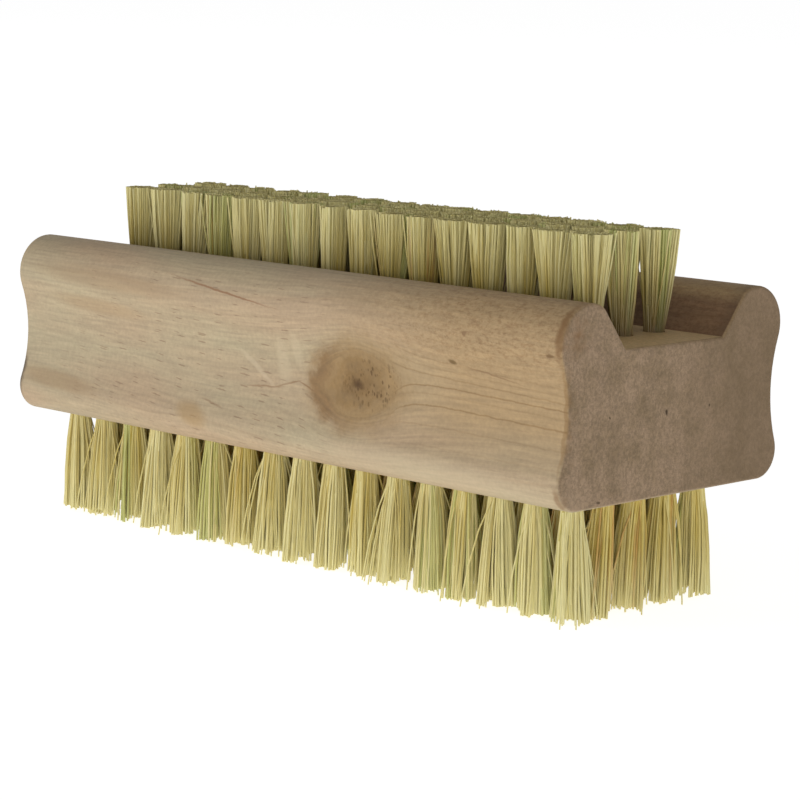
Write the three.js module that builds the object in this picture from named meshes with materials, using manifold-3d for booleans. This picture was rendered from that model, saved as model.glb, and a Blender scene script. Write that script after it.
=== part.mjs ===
// A two-sided wooden nail brush. One hardwood block, grooved along its top and hollowed along both
// sides for the fingers, carries two fields of plant-fibre tufts: a wide one below and a narrow one
// in the top groove. Every tuft is a bundle folded over a flat wire anchor at the foot of a blind hole.
//
// Millimetres, +Z up, +X along the brush. The origin is under the middle of the brush, on the plane
// of the lower bristle tips, which is the surface that it stands on.
import * as THREE from "three";
import { mergeGeometries, mergeVertices } from "three/addons/utils/BufferGeometryUtils.js";
import Module from "manifold-3d";

const wasm = await Module();
wasm.setup();

// Block
const BLOCK_LENGTH = 95;
const BLOCK_WIDTH = 39.2; // across the rounded lobes of the sides
const BLOCK_HEIGHT = 23;
const HOLLOW_DEPTH = 1.35; // of the finger hollow along each side
const LOWER_LOBE_RADIUS = 3.3;
const UPPER_LOBE_RADIUS = 4.7;
const END_EDGE_SIZE = 0.5; // eased edge round each sawn end
const GROOVE_FLOOR_WIDTH = 17.4;
const GROOVE_DEPTH = 5.5;
const GROOVE_WALL_LEAN = THREE.MathUtils.degToRad(38); // from upright
const GROOVE_LIP_RADIUS = 1.3;

// Drilling: margins run to a hole's centre, from the block's end and from the front (-Y) and the back of
// the block or of the groove floor. Both fields are drilled a little off the middle.
const LOWER_ROWS = 5;
const LOWER_COLUMNS = 17;
const LOWER_END_MARGIN = 4.1;
const LOWER_FRONT_MARGIN = 7.2;
const LOWER_BACK_MARGIN = 10.4;
const UPPER_ROWS = 3;
const UPPER_COLUMNS = 16;
const UPPER_END_MARGIN = 8.3;
const UPPER_FRONT_MARGIN = 3.2;
const UPPER_BACK_MARGIN = 2.6;
const HOLE_RADIUS = 1.35;
const HOLE_DEPTH = 7;

// Tufts
const LOWER_BRISTLE_LENGTH = 13.8; // free length, from the face to the tips
const UPPER_BRISTLE_LENGTH = 11.9;
const STRANDS_PER_TUFT = 3; // wedges that stand for the fibres of one tuft
const TIP_LEAN = 0.35; // how far a tuft's tips may wander from its hole
const STRAND_GAP = 0.24; // between neighbouring strands
const RAGGED_CUT = 0.8; // how much shorter the shortest strand is
const FLAT_CUT = 0.5; // depth to which the longest strands are trimmed level
const SLICE_THICKNESS = 1.2; // the slice of the block's face that keeps a field's tufts together
const SLICE_RIM = 0.5;
const FIT_CLEARANCE = 0.25; // between pieces that seat in each other

// Anchors: flat wire set across each hole, with the tuft folded under it
const ANCHOR_THICKNESS = 0.5;
const ANCHOR_WIDTH = 1.6;
const FOLD_THICKNESS = 0.9;

const FACET_TURN = THREE.MathUtils.degToRad(9);
const HOLE_SIDES = 8;
const UPPER_ROOT_SIDES = 6;
const LOWER_ROOT_SIDES = 5;
const EDGE_STEPS = 2;

const HALF_WIDTH = BLOCK_WIDTH / 2;
const HALF_WAIST = HALF_WIDTH - HOLLOW_DEPTH;
const GROOVE_FLOOR_HEIGHT = BLOCK_HEIGHT - GROOVE_DEPTH;
const TUFT_RADIUS = HOLE_RADIUS - FIT_CLEARANCE;

const wood = new THREE.MeshStandardMaterial({ color: 0xbfa784, roughness: 0.65, metalness: 0 });
const fibre = new THREE.MeshStandardMaterial({ color: 0xc3bb80, roughness: 0.6, metalness: 0 });
const steel = new THREE.MeshStandardMaterial({ color: 0xa9abab, roughness: 0.4, metalness: 1 });

// Solids for joins and cuts

function solidOf(geometry) {
  const bare = geometry.clone();
  bare.deleteAttribute("normal");
  bare.deleteAttribute("uv");
  const merged = mergeVertices(bare, 1e-4);
  return new wasm.Manifold(
    new wasm.Mesh({
      numProp: 3,
      vertProperties: new Float32Array(merged.attributes.position.array),
      triVerts: new Uint32Array(merged.index.array),
    }),
  );
}

function geometryOf(solid) {
  const mesh = solid.getMesh();
  const geometry = new THREE.BufferGeometry();
  geometry.setAttribute("position", new THREE.BufferAttribute(mesh.vertProperties, 3));
  geometry.setIndex(new THREE.BufferAttribute(mesh.triVerts, 1));
  geometry.computeVertexNormals();
  return geometry;
}

function placedBox(size, centre) {
  return new THREE.BoxGeometry(size.x, size.y, size.z).translate(centre.x, centre.y, centre.z);
}

// Upright prism of a regular polygon with a flat towards +Y, from height low to height high
function prism(radius, sides, low, high, x, y) {
  const corners = Array.from({ length: sides }, (_, i) => {
    const angle = Math.PI / 2 + ((i + 0.5) / sides) * 2 * Math.PI;
    return new THREE.Vector2(radius * Math.cos(angle), radius * Math.sin(angle));
  });
  const options = { depth: high - low, bevelEnabled: false };
  return new THREE.ExtrudeGeometry(new THREE.Shape(corners), options).translate(x, y, low);
}

// Block

// The points of an arc after its first one
function arcPoints(centre, radius, from, to) {
  const steps = Math.max(1, Math.round(Math.abs(to - from) / FACET_TURN));
  return Array.from({ length: steps }, (_, i) => {
    const angle = from + ((to - from) * (i + 1)) / steps;
    return new THREE.Vector2(centre.x + radius * Math.cos(angle), centre.y + radius * Math.sin(angle));
  });
}

// One side of the cross-section, from the flat of the underside round to the foot of the groove wall:
// lower lobe, finger hollow, upper lobe and lip are arcs that run into each other.
function halfSection() {
  const lower = new THREE.Vector2(HALF_WIDTH - LOWER_LOBE_RADIUS, LOWER_LOBE_RADIUS);
  const upper = new THREE.Vector2(HALF_WIDTH - UPPER_LOBE_RADIUS, BLOCK_HEIGHT - UPPER_LOBE_RADIUS);

  // The hollow's arc touches both lobes and has its own depth
  const rise = upper.y - lower.y;
  const lowerTerm = HOLLOW_DEPTH * (2 * LOWER_LOBE_RADIUS - HOLLOW_DEPTH);
  const upperTerm = HOLLOW_DEPTH * (2 * UPPER_LOBE_RADIUS - HOLLOW_DEPTH);
  const lowerRise = (rise * rise + lowerTerm - upperTerm) / (2 * rise);
  const hollowRadius = (lowerRise * lowerRise - lowerTerm) / (2 * HOLLOW_DEPTH);
  const hollow = new THREE.Vector2(HALF_WAIST + hollowRadius, lower.y + lowerRise);
  const lowerTouch = hollow.clone().sub(lower).angle();
  const upperTouch = hollow.clone().sub(upper).angle() - 2 * Math.PI;

  // The lip's arc touches the groove wall and the inside of the upper lobe
  const foot = new THREE.Vector2(GROOVE_FLOOR_WIDTH / 2, GROOVE_FLOOR_HEIGHT);
  const alongWall = new THREE.Vector2(Math.sin(GROOVE_WALL_LEAN), Math.cos(GROOVE_WALL_LEAN));
  const intoWood = new THREE.Vector2(alongWall.y, -alongWall.x);
  const fromUpper = foot.clone().addScaledVector(intoWood, GROOVE_LIP_RADIUS).sub(upper);
  const reach = UPPER_LOBE_RADIUS - GROOVE_LIP_RADIUS;
  const halfTurn = fromUpper.dot(alongWall);
  const travel = -halfTurn + Math.sqrt(halfTurn ** 2 - fromUpper.lengthSq() + reach ** 2);
  const lip = upper.clone().add(fromUpper).addScaledVector(alongWall, travel);
  const lipStart = lip.clone().sub(upper).angle();
  const lipEnd = intoWood.clone().negate().angle();

  return [
    new THREE.Vector2(lower.x, 0),
    ...arcPoints(lower, LOWER_LOBE_RADIUS, -Math.PI / 2, lowerTouch),
    ...arcPoints(hollow, hollowRadius, lowerTouch + Math.PI, upperTouch + Math.PI),
    ...arcPoints(upper, UPPER_LOBE_RADIUS, upperTouch, lipStart),
    ...arcPoints(lip, GROOVE_LIP_RADIUS, lipStart, lipEnd),
    foot,
  ];
}

// The section run along X, with its sawn ends eased
function blockBlank() {
  const right = halfSection();
  const left = right.map((p) => new THREE.Vector2(-p.x, p.y)).reverse();
  const blank = new THREE.ExtrudeGeometry(new THREE.Shape([...right, ...left]), {
    depth: BLOCK_LENGTH - 2 * END_EDGE_SIZE,
    bevelThickness: END_EDGE_SIZE,
    bevelSize: END_EDGE_SIZE,
    bevelOffset: -END_EDGE_SIZE,
    bevelSegments: EDGE_STEPS,
  });
  blank.translate(0, 0, END_EDGE_SIZE - BLOCK_LENGTH / 2);
  const sectionY = new THREE.Vector3(0, 1, 0);
  const sectionZ = new THREE.Vector3(0, 0, 1);
  const run = new THREE.Vector3(1, 0, 0);
  return blank.applyMatrix4(new THREE.Matrix4().makeBasis(sectionY, sectionZ, run));
}

function blockGeometry(sides) {
  const cuts = sides.map(({ field, group }) => seatCuts(field).map((cut) => cut.applyMatrix4(group.matrix)));
  return geometryOf(cuts.flat().reduce((rest, cut) => rest.subtract(solidOf(cut)), solidOf(blockBlank())));
}

// Tuft fields: each is described over its own face, with the face at height 0 and the tips above it

function tuftField({ rows, columns, halfLength, front, back, length }) {
  const pitchX = (2 * halfLength) / (columns - 1);
  const pitchY = (back - front) / (rows - 1);
  const tufts = [];
  for (let row = 0; row < rows; row++) {
    for (let column = 0; column < columns; column++) {
      tufts.push({ row, column, x: column * pitchX - halfLength, y: row * pitchY + front });
    }
  }
  const rim = HOLE_RADIUS + SLICE_RIM;
  const slice = new THREE.Vector3(2 * (halfLength + rim), back - front + 2 * rim, SLICE_THICKNESS);
  const tipRadius = Math.min(pitchX, pitchY) / 2 - TIP_LEAN - STRAND_GAP / 2;
  return { tufts, slice, middle: (front + back) / 2, tipRadius, length };
}

// The recess for the slice and the blind holes behind it
function seatCuts({ tufts, slice, middle }) {
  const depth = SLICE_THICKNESS + FIT_CLEARANCE;
  const recess = new THREE.Vector3(slice.x + 2 * FIT_CLEARANCE, slice.y + 2 * FIT_CLEARANCE, 2 * depth);
  const cornerRadius = HOLE_RADIUS / Math.cos(Math.PI / HOLE_SIDES);
  const holes = tufts.map(({ x, y }) => prism(cornerRadius, HOLE_SIDES, -HOLE_DEPTH, 0, x, y));
  return [placedBox(recess, new THREE.Vector3(0, middle, 0)), mergeGeometries(holes)];
}

// Repeatable scatter between 0 and 1
function scatter(number, stream) {
  const wave = Math.sin(number * 12.9898 + stream * 78.233) * 43758.5453;
  return wave - Math.floor(wave);
}

// Corners, about the hole's middle, of one wedge of a tuft where it leaves the face
function wedgeCorners(middle) {
  const halfTurn = Math.PI / STRANDS_PER_TUFT;
  const innerRadius = STRAND_GAP / 2 / Math.sin(halfTurn);
  const outerTurn = halfTurn - Math.asin(STRAND_GAP / 2 / TUFT_RADIUS);
  return [
    [innerRadius, middle],
    [TUFT_RADIUS, middle - outerTurn],
    [TUFT_RADIUS, middle + outerTurn],
  ].map(([radius, angle]) => new THREE.Vector2(radius * Math.cos(angle), radius * Math.sin(angle)));
}

// A straight strand that widens from its root, inside the slice, to its tip
function strandGeometry(corners, root, tip) {
  const ring = ({ x, y, z, spread }) => corners.flatMap((c) => [x + c.x * spread, y + c.y * spread, z]);
  const faces = [0, 2, 1, 3, 4, 5, 0, 1, 4, 0, 4, 3, 1, 2, 5, 1, 5, 4, 2, 0, 3, 2, 3, 5];
  const geometry = new THREE.BufferGeometry();
  geometry.setAttribute("position", new THREE.Float32BufferAttribute([...ring(root), ...ring(tip)], 3));
  geometry.setIndex(faces);
  return geometry;
}

// A tuft's strands stand round its hole, fan out to the tips and are cut to a ragged level
function tuftStrands({ x, y }, number, { tipRadius, length }) {
  const root = { x, y, z: -SLICE_THICKNESS / 2, spread: 1 };
  const lean = scatter(number, 1) * TIP_LEAN;
  const leanTurn = scatter(number, 2) * 2 * Math.PI;
  const twist = scatter(number, 3) * 2 * Math.PI;
  return Array.from({ length: STRANDS_PER_TUFT }, (_, i) => {
    const short = scatter(number * STRANDS_PER_TUFT + i, 4) * (RAGGED_CUT + FLAT_CUT) - FLAT_CUT;
    const tip = {
      x: x + lean * Math.cos(leanTurn),
      y: y + lean * Math.sin(leanTurn),
      z: length - Math.max(0, short),
      spread: tipRadius / TUFT_RADIUS,
    };
    return strandGeometry(wedgeCorners(twist + (i / STRANDS_PER_TUFT) * 2 * Math.PI), root, tip);
  });
}

// A tuft's folded end in its hole, from inside the slice down to the foot of the hole
function tuftRoot({ x, y }, sides) {
  return prism(TUFT_RADIUS, sides, FIT_CLEARANCE - HOLE_DEPTH, -SLICE_THICKNESS / 2, x, y);
}

const ANCHOR_HEIGHT = FIT_CLEARANCE - HOLE_DEPTH + FOLD_THICKNESS + FIT_CLEARANCE + ANCHOR_WIDTH / 2;

// The eye that the fold leaves round its anchor
function anchorEye({ x, y }) {
  const size = new THREE.Vector3(
    ANCHOR_THICKNESS + 2 * FIT_CLEARANCE,
    2 * HOLE_RADIUS,
    ANCHOR_WIDTH + 2 * FIT_CLEARANCE,
  );
  return placedBox(size, new THREE.Vector3(x, y, ANCHOR_HEIGHT));
}

// All tufts of one face. Where the anchors are pieces of their own, the folds are open round them,
// and elsewhere each anchor is one with the fold that holds it.
function bristleGeometry(field, rootSides, anchorsApart) {
  const { tufts, slice, middle } = field;
  const sheet = placedBox(slice, new THREE.Vector3(0, middle, -SLICE_THICKNESS / 2));
  const strands = mergeGeometries(tufts.flatMap((tuft, i) => tuftStrands(tuft, i, field)));
  const roots = solidOf(mergeGeometries(tufts.map((tuft) => tuftRoot(tuft, rootSides))));
  const folded = anchorsApart ? roots.subtract(solidOf(mergeGeometries(tufts.map(anchorEye)))) : roots;
  return geometryOf(solidOf(sheet).add(solidOf(strands)).add(folded));
}

// Assembly

function part(name, geometry, material) {
  const mesh = new THREE.Mesh(geometry, material);
  mesh.name = name;
  return mesh;
}

function anchorPart({ row, column, x, y }) {
  const anchor = new THREE.BoxGeometry(ANCHOR_THICKNESS, 2 * TUFT_RADIUS, ANCHOR_WIDTH);
  const number = String(column + 1).padStart(2, "0");
  const mesh = part(`upper_anchor_row${row + 1}_${number}`, anchor, steel);
  mesh.position.set(x, y, ANCHOR_HEIGHT);
  return mesh;
}

const lowerField = tuftField({
  rows: LOWER_ROWS,
  columns: LOWER_COLUMNS,
  halfLength: BLOCK_LENGTH / 2 - LOWER_END_MARGIN,
  front: LOWER_FRONT_MARGIN - HALF_WIDTH,
  back: HALF_WIDTH - LOWER_BACK_MARGIN,
  length: LOWER_BRISTLE_LENGTH,
});
const upperField = tuftField({
  rows: UPPER_ROWS,
  columns: UPPER_COLUMNS,
  halfLength: BLOCK_LENGTH / 2 - UPPER_END_MARGIN,
  front: UPPER_FRONT_MARGIN - GROOVE_FLOOR_WIDTH / 2,
  back: GROOVE_FLOOR_WIDTH / 2 - UPPER_BACK_MARGIN,
  length: UPPER_BRISTLE_LENGTH,
});

const lowerSide = new THREE.Group();
lowerSide.rotation.y = Math.PI;
lowerSide.updateMatrix();

const upperSide = new THREE.Group();
upperSide.position.z = GROOVE_FLOOR_HEIGHT;
upperSide.updateMatrix();

const sides = [
  { field: lowerField, group: lowerSide },
  { field: upperField, group: upperSide },
];

lowerSide.add(part("lower_bristles", bristleGeometry(lowerField, LOWER_ROOT_SIDES, false), fibre));
upperSide.add(part("upper_bristles", bristleGeometry(upperField, UPPER_ROOT_SIDES, true), fibre));
upperSide.add(...upperField.tufts.map(anchorPart));

const brush = new THREE.Group();
brush.position.z = LOWER_BRISTLE_LENGTH;
brush.add(part("block", blockGeometry(sides), wood), lowerSide, upperSide);

const nailBrush = new THREE.Group();
nailBrush.add(brush);

export default nailBrush;
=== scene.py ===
"""Looks of a two-sided wooden nail brush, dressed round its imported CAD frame.

Blender works in metres here: +Z is up, +X runs along the brush, and the origin lies under its middle,
on the plane of the lower bristle tips. Lengths named below are in millimetres unless a comment says so.
"""
import math
from functools import partial

import bpy
from mathutils import Matrix, Vector


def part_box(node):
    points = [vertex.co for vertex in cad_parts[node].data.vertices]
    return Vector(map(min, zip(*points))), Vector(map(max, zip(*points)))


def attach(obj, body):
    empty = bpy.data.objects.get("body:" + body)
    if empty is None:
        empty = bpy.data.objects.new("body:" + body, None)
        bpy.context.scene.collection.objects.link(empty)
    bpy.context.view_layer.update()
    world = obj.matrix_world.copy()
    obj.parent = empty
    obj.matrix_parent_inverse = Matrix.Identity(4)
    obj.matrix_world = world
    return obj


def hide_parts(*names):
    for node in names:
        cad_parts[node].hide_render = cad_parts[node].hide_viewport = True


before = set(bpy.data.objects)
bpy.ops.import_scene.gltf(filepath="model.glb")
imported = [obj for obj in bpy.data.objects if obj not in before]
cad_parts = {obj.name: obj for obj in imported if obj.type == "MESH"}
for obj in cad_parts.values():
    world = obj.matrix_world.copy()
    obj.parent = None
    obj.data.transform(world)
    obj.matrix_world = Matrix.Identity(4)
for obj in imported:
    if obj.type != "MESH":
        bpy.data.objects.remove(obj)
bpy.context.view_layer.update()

MM = 0.001

# Kinds of nodes that are used often
MATH = "ShaderNodeMath"
VECTOR = "ShaderNodeVectorMath"
RANGE = "ShaderNodeMapRange"
MIX = "ShaderNodeMix"
NOISE = "ShaderNodeTexNoise"
VORONOI = "ShaderNodeTexVoronoi"
SPLIT = "ShaderNodeSeparateXYZ"
JOIN = "ShaderNodeCombineXYZ"
INTEGER = "FunctionNodeIntegerMath"
RANDOM = "FunctionNodeRandomValue"

# Block
BLOCK_LOW, BLOCK_HIGH = (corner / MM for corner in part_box("block"))
BLOCK_LENGTH, BLOCK_WIDTH, BLOCK_HEIGHT = BLOCK_HIGH - BLOCK_LOW
HOLLOW_DEPTH = 1.35
LOWER_LOBE_RADIUS = 3.3
UPPER_LOBE_RADIUS = 4.7
END_EDGE_RADIUS = 0.4
GROOVE_FLOOR_WIDTH = 17.4
GROOVE_DEPTH = 5.5
GROOVE_WALL_LEAN = math.radians(38)
GROOVE_LIP_RADIUS = 1.3
GROOVE_HALF_MOUTH = 12.4
ARC_STEP = math.radians(4)
EDGE_STEPS = 5
RIM = 0.25  # flat ring inside each end edge, which keeps the end's shading flat
SHARP_EDGE = math.radians(30)

# Heights over the floor
LOWER_FACE = BLOCK_LOW.z
GROOVE_FLOOR = BLOCK_HIGH.z - GROOVE_DEPTH
UPPER_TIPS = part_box("upper_bristles")[1].z / MM

# Fields of tufts, lower and upper, with their rows from the front (-Y) to the back
HOLE = {"Hole radius": 1.35, "Hole depth": 7.0}
HOLE_SIDES = 20
FIELDS = {
    "Columns": (17, 16),
    "Rows": (5, 3),
    "Half length": (43.4, 39.2),
    "Front": (-12.4, -5.5),
    "Back": (9.2, 6.1),
    "Face height": (LOWER_FACE, GROOVE_FLOOR),
}

# Fibres
FIBRE = {"Root depth": 6.5, "Fibre radius": 0.15}
FIBRE_POINTS, FIBRE_SIDES = 6, 4
HOLE_SHARE = 0.4  # part of a fibre's steps
ANCHOR_PARTING = 0.45  # how far fibres move off the anchor to both sides
ANCHOR_PRESS = 0.45  # share by which they are pressed together there
LOCKS_PER_MM = 1.3
LOCK_TONE, TUFT_TONE = 0.4, 0.25  # their shares in a fibre's tone
GREEN_STRENGTH = 0.5
GOLDEN_ANGLE = math.pi * (3 - math.sqrt(5))

# Tufts, lower and upper: their fibres, first seeds, sizes and shares, and what differs in rows behind the
# first one and in rows that have a row on both sides
TRIM_ALLOWANCE = 0.25  # upper fibres before their uneven trim
SEED_STEP = 10  # from row to row
TUFTS = {
    "Fibres": (180, 240),
    "Seed": (100, 200),
    "Direction": (-1.0, 1.0),
    "Free length": (LOWER_FACE, UPPER_TIPS - GROOVE_FLOOR + TRIM_ALLOWANCE),
    "Root radius": (1.2, 1.15),
    "Fan": (0.85, 0.82),
    "Flare": (0.8, 1.1),
    "Lean": (0.5, 0.25),
    "Locks": (1.2, 0.9),
    "Stray share": (0.1, 0.07),
    "Stray reach": (2.4, 1.6),
    "Ragged": (1.3, 0.25),
    "Jitter": (0.25, 0.04),
    "Tuft step": (0.35, 0.08),
    "Paleness": (0.5, 0.43),
    # painted shade that darkens the fibres towards their roots
    "Root shade": (0.12, 0.72),
}
# Painted shade among the tufts: rows behind the first in the groove are darker at their roots, those below
# have none, and lower rows between others are a deeper ochre
ROWS_BEHIND = {"Root shade": (0.0, 0.95)}
ROWS_INSIDE = {"Paleness": (0.15, 0.43)}

# Knot on the front: its heart, and how much longer than high it is. Its depth is where it closes.
KNOT_HEART = (15.05, -18.3, 24.4)
KNOT_STRETCH = 1.5
KNOT_SLOPE = math.radians(7)
KNOT_RADIUS = 3.6
KNOT_DEPTH = 20.0
KNOT_WOBBLE = 1.6
HEART_WOBBLE = 0.6  # share of the knot's
KNOT_ARC_TURN, KNOT_ARC_TINT = 5.5, 0.06  # radians in a mm, share of the stain
KNOT_SPECK_CENTRE = (1.5, 0.0, 0.0)  # from the heart

# Late-wood lines on the front: height at the right-hand end, rise per mm towards the knot, bend at the
# knot, strength
LATE_WOOD_LINES = (
    (25.07, 0.033, -1.68, 0.62),
    (22.84, 0.030, -1.75, 0.62),
    (25.93, 0.045, 0.56, 0.42),
    (24.15, 0.028, -1.2, 0.2),
    (20.7, 0.02, -0.6, 0.25),
    (26.7, 0.05, 0.9, 0.22),
    (27.5, 0.055, 1.2, 0.22),
    (18.6, 0.012, -0.4, 0.15),
)

# Marks in the wood: centre, half sizes, slope in degrees from front to right, colour, strength
WOOD_MARKS = (
    # Painted shade: a darker band over the upper lobe at the left
    ((-30.0, -19.0, 32.6), (20.0, 8.0, 1.9), -2, "#9C8160", 0.45),  # brown band under the top edge
    ((-40.0, -19.0, 18.6), (11.0, 8.0, 1.7), -4, "#A0825F", 0.5),  # brown band above the lower edge
    ((-32.0, -19.0, 29.0), (12.0, 8.0, 1.4), -3, "#A58862", 0.35),
    ((-7.6, -19.0, 33.2), (12.0, 8.0, 0.19), -7, "#8C694B", 0.85),  # drying crack
    ((-0.8, -19.0, 22.3), (4.4, 8.0, 0.16), 5, "#866848", 0.55),  # line that arches to the knot
    ((3.4, -19.0, 23.1), (3.0, 8.0, 0.16), 16, "#866848", 0.7),
    ((6.6, -19.0, 23.1), (2.2, 8.0, 0.16), -18, "#866848", 0.7),
    ((-13.0, -19.0, 17.4), (3.8, 8.0, 2.0), -14, "#A0804F", 0.5),  # orange-brown patch
    ((-9.6, -19.0, 19.2), (2.6, 8.0, 0.2), -12, "#7D6044", 0.5),
    ((-2.2, -19.0, 24.4), (4.8, 8.0, 0.5), -32, "#D2C0A2", 0.28),  # pale ray figure beside the knot
    ((2.4, -19.0, 25.6), (4.4, 8.0, 1.6), -80, "#CBB999", 0.3),
    ((4.8, -19.0, 27.4), (3.0, 8.0, 1.2), -76, "#CBB999", 0.22),
    ((30.6, -19.0, 28.8), (0.85, 8.0, 0.34), -6, "#6A5230", 0.85),  # small eye
    ((36.4, -19.0, 28.0), (5.4, 8.0, 0.15), -8, "#84684A", 0.6),
    ((33.0, -19.0, 32.3), (0.5, 8.0, 0.45), 0, "#77583C", 0.6),
    ((45.8, -19.0, 31.2), (0.9, 8.0, 0.28), 0, "#65492C", 0.75),
    ((46.9, -17.6, 33.4), (0.85, 4.5, 4.4), 0, "#7A5A38", 0.9),  # end edges browned by the saw
    ((47.2, -18.6, 24.0), (0.4, 2.5, 9.0), 0, "#86663F", 0.5),
    ((47.0, -18.9, 15.2), (0.7, 3.0, 2.0), 0, "#7B5B3A", 0.7),
    ((46.5, -13.5, 36.4), (1.2, 4.0, 1.6), 0, "#86663F", 0.6),
    # Painted shade: a dark line down the lower corner of the left end
    ((-47.5, -18.9, 18.4), (1.2, 1.3, 4.0), 0, "#55483A", 0.9),
    # A pale band over the lower lobe: partly the wood's own paler tone, partly painted light from below
    ((28.0, -19.0, 15.6), (26.0, 8.0, 2.8), -2, "#C6B294", 0.32),  # pale band along the lower edge
    ((47.5, 24.0, 24.0), (3.0, 30.0, 40.0), 0, "#705C43", 0.55),  # darker side of the end
    ((47.5, -1.3, 23.5), (0.8, 0.3, 0.55), 0, "#3A2A1A", 0.95),  # pores open in the end
    ((47.5, 6.4, 23.6), (0.8, 0.25, 0.25), 0, "#3F2E1E", 0.85),
    ((47.5, -11.2, 23.8), (0.8, 0.22, 0.2), 0, "#3F2E1E", 0.8),
    ((47.5, -12.7, 14.5), (0.8, 0.35, 0.22), 0, "#4A3826", 0.8),
)

# Growth rings: a point of the pith, which runs along the block, and the width of a year's ring
PITH = (0.0, 35.0, -30.0)
YEAR_WIDTH = 1.9
LINE_BEND_START, LINE_BEND_LENGTH = 21.0, 2.2  # where late-wood lines bend to the knot

# Patterns in the wood: cells in a mm along, across and up the block
SWAY_CELLS = (0.02, 0.07, 0.07)
CLOUD_CELLS = (0.035, 0.12, 0.16)
MOTTLE_CELLS = (1.2, 2.0, 2.2)
STREAK_CELLS = (0.16, 2.6, 2.6)
END_BAND_CELLS = (0.1, 0.55, 0.06)
KNOT_SPECK_CELLS = (4.4, 1.0, 1.7)
FLECK_CELLS = (0.26, 2.3, 1.0)  # along and up

# How far grain and marks stray, and how deep the wood's relief is
FLECK_SLOPE = 0.07
FLECK_FRAY = (0.3, 0.35, 0.0)  # in cells
BACK_SHIFT = 150.0  # gives the back other flecks than the front
GRAIN_SWAY = (0.0, 3.0, 3.0)
MARK_FRAY = (0.8, 0.8, 0.35)
WOOD_RELIEF = 0.12

# Patterns in fibre and wire: cells in a metre
VEIN_CELLS = (6000.0, 6000.0, 500.0)
DRAW_MARK_CELLS = (9000.0, 300.0, 9000.0)
WIRE_RELIEF = 0.02  # mm

# Vectors that keep some directions of a place, and the mean of a noise
ALONG_AND_UP = (1.0, 0.0, 1.0)
ACROSS_AND_UP = (0.0, 1.0, 1.0)
UPWARDS = (0.0, 0.0, 1.0)
NOISE_MEAN = (0.5, 0.5, 0.5)


# Small tools


def linear(code):
    """A colour written as sRGB hex, as the linear value that Blender's sockets take."""
    parts = [int(code[i : i + 2], 16) / 255 for i in (1, 3, 5)]
    return (*[p / 12.92 if p <= 0.04045 else ((p + 0.055) / 1.055) ** 2.4 for p in parts], 1.0)


def column(table, i):
    """One column of a table of named values: 0 is lower, 1 is upper."""
    return {name: values[i] for name, values in table.items()}


def add_node(tree, kind, inputs=None, **settings):
    """Adds a node with its settings to a tree. An input is named or numbered, and takes a value, a
    socket, or a node, which stands for its first output in use."""
    node = tree.nodes.new(kind)
    for name, value in settings.items():
        setattr(node, name, value)
    for key, value in (inputs or {}).items():
        if isinstance(key, int):
            socket = node.inputs[key]
        else:
            socket = next(s for s in node.inputs if s.name == key and s.enabled)
        if isinstance(value, bpy.types.Node):
            value = next(s for s in value.outputs if s.enabled)
        if isinstance(value, bpy.types.NodeSocket):
            tree.links.new(value, socket)
        else:
            socket.default_value = value
    return node


def new_material(name):
    """An empty node material, and what adds nodes to it."""
    material = bpy.data.materials.new(name)
    material.use_nodes = True
    material.node_tree.nodes.clear()
    return material, partial(add_node, material.node_tree)


def new_shape_tree(name, counts, sizes):
    """An empty Geometry Nodes tree, and what adds nodes to it. A mesh, a material, named counts and named
    sizes come in, and a mesh goes out."""
    tree = bpy.data.node_groups.new(name, "GeometryNodeTree")
    given = [("Mesh", "Geometry"), ("Material", "Material")]
    given += [(label, "Int") for label in counts]
    given += [(label, "Float") for label in sizes]
    for label, kind in given:
        tree.interface.new_socket(name=label, in_out="INPUT", socket_type=f"NodeSocket{kind}")
    tree.interface.new_socket(name="Mesh", in_out="OUTPUT", socket_type="NodeSocketGeometry")
    return tree, partial(add_node, tree)


def shaped(name, start, steps):
    """A plain mesh piece: a start mesh taken through Geometry Nodes steps, each a tree with its sizes."""
    piece = bpy.data.objects.new(name, start)
    bpy.context.scene.collection.objects.link(piece)
    for tree, sizes in steps:
        step = piece.modifiers.new(tree.name, "NODES")
        step.node_group = tree
        for socket in tree.interface.items_tree:
            if socket.in_out == "INPUT" and socket.name in sizes:
                step[socket.identifier] = sizes[socket.name]
    depsgraph = bpy.context.evaluated_depsgraph_get()
    mesh = bpy.data.meshes.new_from_object(piece.evaluated_get(depsgraph), depsgraph=depsgraph)
    piece.modifiers.clear()
    piece.data = mesh
    mesh.name = name
    return piece


# Block


def arc(centre, radius, start, end):
    """The points of an arc after its first one."""
    steps = max(1, round(abs(end - start) / ARC_STEP))
    turns = [start + (end - start) * (i + 1) / steps for i in range(steps)]
    return [centre + radius * Vector((math.cos(a), math.sin(a))) for a in turns]


def turn_of(vector):
    """The direction of a vector, as an angle."""
    return math.atan2(vector.y, vector.x)


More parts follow.
